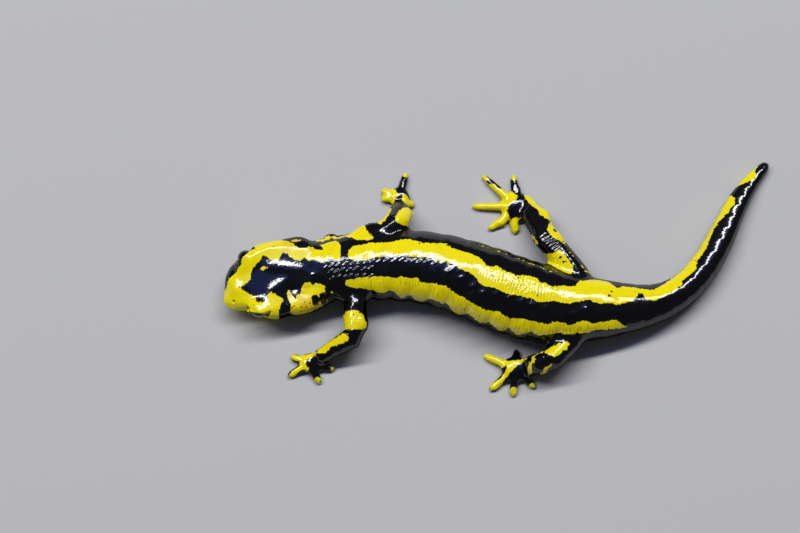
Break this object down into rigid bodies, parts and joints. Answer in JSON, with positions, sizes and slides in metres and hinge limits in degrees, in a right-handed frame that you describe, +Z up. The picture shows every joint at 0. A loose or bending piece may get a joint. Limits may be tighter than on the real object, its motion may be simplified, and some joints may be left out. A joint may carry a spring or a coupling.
{
  "type": "fire salamander",
  "caption": "Still life-size model of an adult fire salamander, black with yellow stripes, walking with its body and tail gently curved.",
  "frame": {"origin": "middle of the bounding box seen from above, on the floor that the animal rests on", "axes": "+X from the head towards the tail, +Y towards the animal's right side, +Z up"},
  "size_m": [0.1592, 0.069, 0.0169],
  "materials": {
    "black_skin": "wet glossy black skin with yellow stripes and patches",
    "yellow_skin": "wet glossy yellow gland skin with dark pores",
    "eye": "glossy black eyeball with a dark brown iris"
  },
  "bodies": {
    "root": {"eye_right": "eye", "parotoid_right": "yellow_skin", "eye_left": "eye", "parotoid_left": "yellow_skin", "lower_jaw": "black_skin", "head": "black_skin", "neck": "black_skin", "trunk_chest": "black_skin", "trunk_belly": "black_skin", "trunk_hips": "black_skin", "tail_base": "black_skin", "tail_middle": "black_skin", "tail_tip": "black_skin", "foreleg_right_upper": "black_skin", "foreleg_right_lower": "black_skin", "hand_right": "black_skin", "foreleg_left_upper": "black_skin", "foreleg_left_lower": "black_skin", "hand_left": "black_skin", "hindleg_right_upper": "black_skin", "hindleg_right_lower": "black_skin", "foot_right": "black_skin", "hindleg_left_upper": "black_skin", "hindleg_left_lower": "black_skin", "foot_left": "black_skin"}
  },
  "joints": []
}
